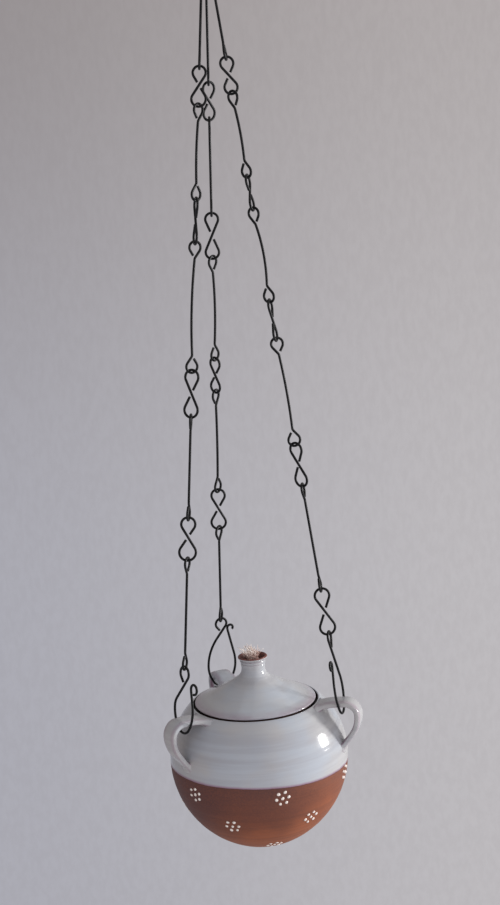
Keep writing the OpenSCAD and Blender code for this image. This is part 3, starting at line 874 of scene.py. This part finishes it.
# Stage, in metres
FLOOR_R = 0.5
FLOOR_FADE_R = 0.2236
FLOOR_DROP = 0.42


def seen_directly(tree):
    """1 where the camera, a reflection or glass looks, and 0 for light on a surface."""
    path = tree.nodes.new("ShaderNodeLightPath")
    seen = math_node(tree, "MAXIMUM", path.outputs["Is Camera Ray"], path.outputs["Is Glossy Ray"])
    return math_node(tree, "MAXIMUM", seen, path.outputs["Is Transmission Ray"])


def make_floor():
    """A pale round floor, below what the photograph shows, that fades at its edge."""
    material, tree, shader = new_material("floor")
    place = object_place(tree)
    grain = noise_node(tree, place, 60.0, 4.0, 0.6)
    colour = mix_colour(tree, grain, srgb(180, 180, 187), srgb(188, 188, 194))
    put(tree, shader.inputs["Base Color"], colour)
    shader.inputs["Roughness"].default_value = 0.9
    glow = tree.nodes.new("ShaderNodeEmission")
    put(tree, glow.inputs["Color"], colour)
    shown = math_node(tree, "MULTIPLY", seen_directly(tree), 0.7)
    solid = mix_shader(tree, shown, shader.outputs[0], glow.outputs[0])
    parts = split(tree, place)
    across = math_node(tree, "MULTIPLY", parts["X"], parts["X"])
    reach = math_node(tree, "MULTIPLY_ADD", parts["Y"], parts["Y"], across)
    edge = ramp(tree, reach, FLOOR_FADE_R * FLOOR_FADE_R, FLOOR_R * FLOOR_R)
    clear = tree.nodes.new("ShaderNodeBsdfTransparent")
    faded = mix_shader(tree, edge, solid, clear.outputs[0])
    tree.links.new(faded, tree.nodes["Material Output"].inputs["Surface"])
    turns = [2 * pi * k / 96 for k in range(96)]
    level = belly.z * MM - FLOOR_DROP
    mesh = bpy.data.meshes.new("floor")
    mesh.from_pydata([(FLOOR_R * cos(a), FLOOR_R * sin(a), level) for a in turns], [], [range(96)])
    mesh.materials.append(material)
    floor = bpy.data.objects.new("floor", mesh)
    bpy.context.collection.objects.link(floor)


def add_window(name, azimuth, elevation, distance, width, height, power, colour):
    """A rectangular light seen from the belly in the given direction."""
    az = radians(azimuth)
    el = radians(elevation)
    way = Vector((cos(az) * cos(el), sin(az) * cos(el), sin(el)))
    data = bpy.data.lights.new(name, "AREA")
    data.shape = "RECTANGLE"
    data.size = width
    data.size_y = height
    data.energy = power
    data.color = colour
    lamp = bpy.data.objects.new(name, data)
    lamp.location = belly * MM + way * distance
    lamp.rotation_euler = way.to_track_quat("Z", "Y").to_euler()
    lamp.visible_camera = False
    bpy.context.collection.objects.link(lamp)


def wall_colour(tree, way, parts):
    """Pale grey-lilac wall with a faint upright grain, lighter low down, and lighter to the right as
    painted light from the window side.
    """
    down = ramp(tree, parts["Z"], 0.15, -0.30)
    # Painted light: the wall brightens towards the right, the window side
    across = ramp(tree, parts["X"], -0.18, 0.18)
    left = mix_colour(tree, down, srgb(148, 142, 143), srgb(171, 171, 180))
    right = mix_colour(tree, down, srgb(175, 169, 169), srgb(191, 188, 191))
    grain = noise_node(tree, scaled(tree, way, (1.0, 1.0, 0.4)), 300.0, 3.0, 0.6)
    colour = mix_colour(tree, across, left, right)
    return mix_colour(tree, ramp(tree, grain, 0.3, 0.7, 0.0, 0.07), colour, srgb(120, 112, 112))


def make_world():
    """Light from a pale room, brighter in front and to the right, and a plain wall behind."""
    world = bpy.data.worlds.new("room")
    bpy.context.scene.world = world
    world.use_nodes = True
    tree = world.node_tree
    tree.nodes.clear()
    out = tree.nodes.new("ShaderNodeOutputWorld")
    way = tree.nodes.new("ShaderNodeTexCoord").outputs["Generated"]
    parts = split(tree, way)
    across = ramp(tree, parts["X"], -1.0, 1.0)
    height = ramp(tree, parts["Z"], -1.0, 1.0)
    side = mix_colour(tree, across, (0.34, 0.31, 0.31, 1), (1.0, 1.01, 1.06, 1))
    below = mix_colour(tree, 0.5, side, (0.62, 0.56, 0.55, 1))
    strength = ramp(tree, parts["Y"], 0.2, -1.0, 0.72, 1.6)
    overhead = ramp(tree, parts["Z"], 0.2, 1.0, 0.0, 0.35)
    light = tree.nodes.new("ShaderNodeBackground")
    put(tree, light.inputs["Color"], mix_colour(tree, height, below, side))
    put(tree, light.inputs["Strength"], math_node(tree, "SUBTRACT", strength, overhead))
    wall = tree.nodes.new("ShaderNodeBackground")
    put(tree, wall.inputs["Color"], wall_colour(tree, way, parts))
    room = mix_shader(tree, seen_directly(tree), light.outputs[0], wall.outputs[0])
    tree.links.new(room, out.inputs["Surface"])


def make_camera():
    """The photograph's view, from 1.18 m in front of the belly and 0.46 m above it."""
    focal_px = 1700.0
    frame_h_px = 905.0
    distance = 1181.0
    height = 459.0
    pitch = radians(11.23)
    yaw = radians(0.39)
    roll = radians(3.81)
    forward = Vector((sin(yaw) * cos(pitch), cos(yaw) * cos(pitch), -sin(pitch)))
    right = Vector((cos(yaw), -sin(yaw), 0))
    down = forward.cross(right)
    turned_right = right * cos(roll) + down * sin(roll)
    turned_down = down * cos(roll) - right * sin(roll)
    data = bpy.data.cameras.new("camera")
    data.sensor_fit = "VERTICAL"
    data.sensor_height = 36.0
    data.lens = data.sensor_height * focal_px / frame_h_px
    data.clip_start = 0.01
    camera = bpy.data.objects.new("camera", data)
    axes = Matrix((turned_right, -turned_down, -forward)).transposed().to_4x4()
    axes.translation = (belly + Vector((0, -distance, height))) * MM
    camera.matrix_world = axes
    bpy.context.collection.objects.link(camera)
    bpy.context.scene.camera = camera


make_floor()
make_world()
make_camera()
add_window("window", 4.4, 9.0, 1.6, 0.25, 0.34, 25.0, (1.0, 0.99, 0.97))
add_window("ceiling", 60.0, 65.0, 1.6, 1.2, 1.2, 3.0, (1.0, 1.0, 1.0))

scene = bpy.context.scene
scene.view_settings.view_transform = "Standard"
